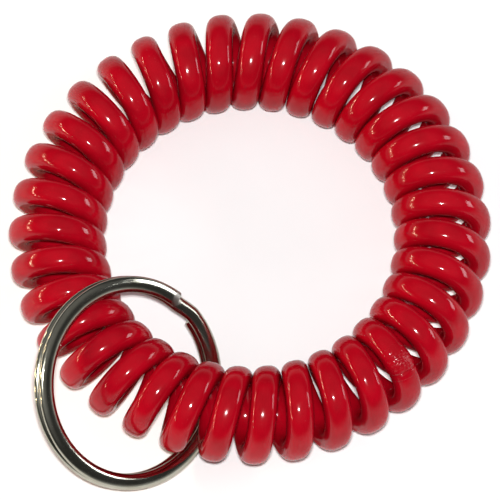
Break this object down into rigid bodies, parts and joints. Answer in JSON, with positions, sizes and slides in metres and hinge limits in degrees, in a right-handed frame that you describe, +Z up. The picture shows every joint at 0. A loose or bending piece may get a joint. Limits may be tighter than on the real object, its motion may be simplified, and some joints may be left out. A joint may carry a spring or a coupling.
{
  "type": "wrist coil key ring",
  "caption": "Red plastic spiral wrist coil closed into a stretchy band, with a nickel split ring threaded round it to carry a training clicker.",
  "frame": {"origin": "under the middle of the object's bounding box, on the surface that it rests on", "axes": "+Z up, out of the wrist opening; +Y away from the split ring's side of the band; +X to the right"},
  "size_m": [0.0726, 0.0754, 0.0213],
  "materials": {
    "cord_plastic": "glossy red soft plastic cord",
    "weld": "scuffed red plastic where the cord's ends are fused",
    "nickel_wire": "bright nickel plate over spring steel"
  },
  "bodies": {
    "coil_turn_01": {"coil_turn_01": "cord_plastic"},
    "coil_turn_02": {"coil_turn_02": "cord_plastic"},
    "coil_turn_03": {"coil_turn_03": "cord_plastic"},
    "coil_turn_04": {"coil_turn_04": "cord_plastic"},
    "coil_turn_05": {"coil_turn_05": "cord_plastic"},
    "coil_turn_06": {"coil_turn_06": "cord_plastic"},
    "coil_turn_07": {"coil_turn_07": "cord_plastic"},
    "coil_turn_08": {"coil_turn_08": "cord_plastic"},
    "coil_turn_09": {"coil_turn_09": "cord_plastic"},
    "coil_turn_10": {"coil_turn_10": "cord_plastic"},
    "coil_turn_11": {"coil_turn_11": "cord_plastic"},
    "coil_turn_12": {"coil_turn_12": "cord_plastic"},
    "coil_turn_13": {"coil_turn_13": "cord_plastic"},
    "coil_turn_14": {"coil_turn_14": "cord_plastic"},
    "coil_turn_15": {"coil_turn_15": "cord_plastic"},
    "coil_turn_16": {"coil_turn_16": "cord_plastic"},
    "coil_turn_17": {"coil_turn_17": "cord_plastic"},
    "coil_turn_18": {"coil_turn_18": "cord_plastic"},
    "coil_turn_19": {"coil_turn_19": "cord_plastic"},
    "coil_turn_20": {"coil_turn_20": "cord_plastic"},
    "coil_turn_21": {"coil_turn_21": "cord_plastic"},
    "coil_turn_22": {"coil_turn_22": "cord_plastic"},
    "coil_turn_23": {"coil_turn_23": "cord_plastic"},
    "coil_turn_24": {"coil_turn_24": "cord_plastic"},
    "coil_turn_25": {"coil_turn_25": "cord_plastic"},
    "coil_turn_26": {"coil_turn_26": "cord_plastic"},
    "coil_turn_27": {"coil_turn_27": "cord_plastic"},
    "coil_turn_28": {"coil_turn_28": "cord_plastic"},
    "coil_turn_29": {"coil_turn_29": "cord_plastic"},
    "coil_turn_30": {"coil_turn_30": "cord_plastic"},
    "coil_turn_31": {"coil_turn_31": "cord_plastic"},
    "coil_turn_32": {"coil_turn_32": "cord_plastic"},
    "coil_turn_33": {"coil_turn_33": "cord_plastic"},
    "coil_turn_34": {"coil_turn_34": "cord_plastic"},
    "welded_turn": {"cord_end": "cord_plastic", "cord_weld": "weld", "cord_start": "cord_plastic"},
    "split_ring": {"split_ring": "nickel_wire"},
    "split_ring_leaf": {"split_ring_leaf": "nickel_wire"}
  },
  "joints": [
    {"name": "band_stretch", "type": "slide", "parent": "coil_turn_13", "child": "coil_turn_14", "axis": [-0.9974, -0.0723, 0.0056], "range_m": [0, 0.00176], "stiffness_N_per_m": 2000},
    {"name": "stretch_coil_turn_15", "type": "slide", "parent": "coil_turn_14", "child": "coil_turn_15", "axis": [-0.9684, -0.2489, 0.0165], "range_m": [0, 0.00177]},
    {"name": "stretch_coil_turn_16", "type": "slide", "parent": "coil_turn_15", "child": "coil_turn_16", "axis": [-0.9083, -0.4175, 0.0268], "range_m": [0, 0.00177]},
    {"name": "stretch_coil_turn_17", "type": "slide", "parent": "coil_turn_16", "child": "coil_turn_17", "axis": [-0.819, -0.5727, 0.0364], "range_m": [0, 0.00178]},
    {"name": "stretch_coil_turn_18", "type": "slide", "parent": "coil_turn_17", "child": "coil_turn_18", "axis": [-0.7034, -0.7094, 0.0447], "range_m": [0, 0.0018]},
    {"name": "stretch_coil_turn_19", "type": "slide", "parent": "coil_turn_18", "child": "coil_turn_19", "axis": [-0.5651, -0.8234, 0.0516], "range_m": [0, 0.00181]},
    {"name": "stretch_coil_turn_20", "type": "slide", "parent": "coil_turn_19", "child": "coil_turn_20", "axis": [-0.4088, -0.9109, 0.0569], "range_m": [0, 0.00183]},
    {"name": "stretch_coil_turn_21", "type": "slide", "parent": "coil_turn_20", "child": "coil_turn_21", "axis": [-0.2392, -0.9691, 0.0603], "range_m": [0, 0.00185]},
    {"name": "stretch_coil_turn_22", "type": "slide", "parent": "coil_turn_21", "child": "coil_turn_22", "axis": [-0.062, -0.9962, 0.0618], "range_m": [0, 0.00187]},
    {"name": "stretch_coil_turn_23", "type": "slide", "parent": "coil_turn_22", "child": "coil_turn_23", "axis": [0.1172, -0.9912, 0.0613], "range_m": [0, 0.00189]},
    {"name": "stretch_coil_turn_24", "type": "slide", "parent": "coil_turn_23", "child": "coil_turn_24", "axis": [0.2926, -0.9544, 0.0588], "range_m": [0, 0.00191]},
    {"name": "stretch_coil_turn_25", "type": "slide", "parent": "coil_turn_24", "child": "coil_turn_25", "axis": [0.4587, -0.8869, 0.0545], "range_m": [0, 0.00193]},
    {"name": "stretch_coil_turn_26", "type": "slide", "parent": "coil_turn_25", "child": "coil_turn_26", "axis": [0.61, -0.7909, 0.0483], "range_m": [0, 0.00195]},
    {"name": "stretch_coil_turn_27", "type": "slide", "parent": "coil_turn_26", "child": "coil_turn_27", "axis": [0.7417, -0.6695, 0.0407], "range_m": [0, 0.00196]},
    {"name": "stretch_coil_turn_28", "type": "slide", "parent": "coil_turn_27", "child": "coil_turn_28", "axis": [0.8495, -0.5266, 0.0317], "range_m": [0, 0.00197]},
    {"name": "stretch_coil_turn_29", "type": "slide", "parent": "coil_turn_28", "child": "coil_turn_29", "axis": [0.9301, -0.3668, 0.0217], "range_m": [0, 0.00198]},
    {"name": "stretch_coil_turn_30", "type": "slide", "parent": "coil_turn_29", "child": "coil_turn_30", "axis": [0.9807, -0.1951, 0.011], "range_m": [0, 0.00199]},
    {"name": "stretch_coil_turn_12", "type": "slide", "parent": "coil_turn_13", "child": "coil_turn_12", "axis": [0.9943, -0.1066, 0.0055], "range_m": [0, 0.00176]},
    {"name": "stretch_coil_turn_11", "type": "slide", "parent": "coil_turn_12", "child": "coil_turn_11", "axis": [0.9593, -0.2821, 0.0164], "range_m": [0, 0.00177]},
    {"name": "stretch_coil_turn_10", "type": "slide", "parent": "coil_turn_11", "child": "coil_turn_10", "axis": [0.8934, -0.4485, 0.0268], "range_m": [0, 0.00177]},
    {"name": "stretch_coil_turn_09", "type": "slide", "parent": "coil_turn_10", "child": "coil_turn_09", "axis": [0.7988, -0.6005, 0.0363], "range_m": [0, 0.00178]},
    {"name": "stretch_coil_turn_08", "type": "slide", "parent": "coil_turn_09", "child": "coil_turn_08", "axis": [0.6786, -0.7332, 0.0447], "range_m": [0, 0.0018]},
    {"name": "stretch_coil_turn_07", "type": "slide", "parent": "coil_turn_08", "child": "coil_turn_07", "axis": [0.5365, -0.8423, 0.0516], "range_m": [0, 0.00181]},
    {"name": "stretch_coil_turn_06", "type": "slide", "parent": "coil_turn_07", "child": "coil_turn_06", "axis": [0.3772, -0.9244, 0.0569], "range_m": [0, 0.00183]},
    {"name": "stretch_coil_turn_05", "type": "slide", "parent": "coil_turn_06", "child": "coil_turn_05", "axis": [0.2057, -0.9767, 0.0603], "range_m": [0, 0.00185]},
    {"name": "stretch_coil_turn_04", "type": "slide", "parent": "coil_turn_05", "child": "coil_turn_04", "axis": [0.0277, -0.9977, 0.0618], "range_m": [0, 0.00187]},
    {"name": "stretch_coil_turn_03", "type": "slide", "parent": "coil_turn_04", "child": "coil_turn_03", "axis": [-0.1512, -0.9866, 0.0613], "range_m": [0, 0.00189]},
    {"name": "stretch_coil_turn_02", "type": "slide", "parent": "coil_turn_03", "child": "coil_turn_02", "axis": [-0.3253, -0.9438, 0.0588], "range_m": [0, 0.00191]},
    {"name": "stretch_coil_turn_01", "type": "slide", "parent": "coil_turn_02", "child": "coil_turn_01", "axis": [-0.4889, -0.8706, 0.0545], "range_m": [0, 0.00193]},
    {"name": "stretch_welded_turn", "type": "slide", "parent": "coil_turn_01", "child": "welded_turn", "axis": [-0.6368, -0.7695, 0.0484], "range_m": [0, 0.00195]},
    {"name": "stretch_coil_turn_34", "type": "slide", "parent": "welded_turn", "child": "coil_turn_34", "axis": [-0.7643, -0.6436, 0.0407], "range_m": [0, 0.00196]},
    {"name": "stretch_coil_turn_33", "type": "slide", "parent": "coil_turn_34", "child": "coil_turn_33", "axis": [-0.8671, -0.4971, 0.0317], "range_m": [0, 0.00197]},
    {"name": "stretch_coil_turn_32", "type": "slide", "parent": "coil_turn_33", "child": "coil_turn_32", "axis": [-0.9421, -0.3345, 0.0217], "range_m": [0, 0.00198]},
    {"name": "stretch_coil_turn_31", "type": "slide", "parent": "coil_turn_32", "child": "coil_turn_31", "axis": [-0.9868, -0.1613, 0.0111], "range_m": [0, 0.00199]},
    {"name": "ring_swing", "type": "hinge", "parent": "coil_turn_27", "child": "split_ring", "pos_m": [-0.01811, -0.02216, 0.01063], "axis": [0.5358, 0.8427, -0.0528], "range_deg": [0, 95]},
    {"name": "ring_open", "type": "hinge", "parent": "split_ring", "child": "split_ring_leaf", "pos_m": [-0.0255, -0.03635, 0.01051], "axis": [0.7036, -0.3617, -0.6116], "range_deg": [0, 5], "stiffness_Nm_per_rad": 1}
  ],
  "couplings": [
    {"joint": "stretch_coil_turn_15", "follows": "band_stretch", "ratio": 1.0021},
    {"joint": "stretch_coil_turn_16", "follows": "band_stretch", "ratio": 1.0061},
    {"joint": "stretch_coil_turn_17", "follows": "band_stretch", "ratio": 1.0121},
    {"joint": "stretch_coil_turn_18", "follows": "band_stretch", "ratio": 1.0197},
    {"joint": "stretch_coil_turn_19", "follows": "band_stretch", "ratio": 1.0287},
    {"joint": "stretch_coil_turn_20", "follows": "band_stretch", "ratio": 1.0389},
    {"joint": "stretch_coil_turn_21", "follows": "band_stretch", "ratio": 1.0499},
    {"joint": "stretch_coil_turn_22", "follows": "band_stretch", "ratio": 1.0613},
    {"joint": "stretch_coil_turn_23", "follows": "band_stretch", "ratio": 1.0729},
    {"joint": "stretch_coil_turn_24", "follows": "band_stretch", "ratio": 1.0842},
    {"joint": "stretch_coil_turn_25", "follows": "band_stretch", "ratio": 1.0948},
    {"joint": "stretch_coil_turn_26", "follows": "band_stretch", "ratio": 1.1045},
    {"joint": "stretch_coil_turn_27", "follows": "band_stretch", "ratio": 1.1128},
    {"joint": "stretch_coil_turn_28", "follows": "band_stretch", "ratio": 1.1196},
    {"joint": "stretch_coil_turn_29", "follows": "band_stretch", "ratio": 1.1246},
    {"joint": "stretch_coil_turn_30", "follows": "band_stretch", "ratio": 1.1277},
    {"joint": "stretch_coil_turn_12", "follows": "band_stretch", "ratio": 1},
    {"joint": "stretch_coil_turn_11", "follows": "band_stretch", "ratio": 1.0021},
    {"joint": "stretch_coil_turn_10", "follows": "band_stretch", "ratio": 1.0061},
    {"joint": "stretch_coil_turn_09", "follows": "band_stretch", "ratio": 1.0121},
    {"joint": "stretch_coil_turn_08", "follows": "band_stretch", "ratio": 1.0197},
    {"joint": "stretch_coil_turn_07", "follows": "band_stretch", "ratio": 1.0287},
    {"joint": "stretch_coil_turn_06", "follows": "band_stretch", "ratio": 1.0389},
    {"joint": "stretch_coil_turn_05", "follows": "band_stretch", "ratio": 1.0499},
    {"joint": "stretch_coil_turn_04", "follows": "band_stretch", "ratio": 1.0613},
    {"joint": "stretch_coil_turn_03", "follows": "band_stretch", "ratio": 1.0729},
    {"joint": "stretch_coil_turn_02", "follows": "band_stretch", "ratio": 1.0842},
    {"joint": "stretch_coil_turn_01", "follows": "band_stretch", "ratio": 1.0948},
    {"joint": "stretch_welded_turn", "follows": "band_stretch", "ratio": 1.1045},
    {"joint": "stretch_coil_turn_34", "follows": "band_stretch", "ratio": 1.1128},
    {"joint": "stretch_coil_turn_33", "follows": "band_stretch", "ratio": 1.1196},
    {"joint": "stretch_coil_turn_32", "follows": "band_stretch", "ratio": 1.1246},
    {"joint": "stretch_coil_turn_31", "follows": "band_stretch", "ratio": 1.1277}
  ]
}
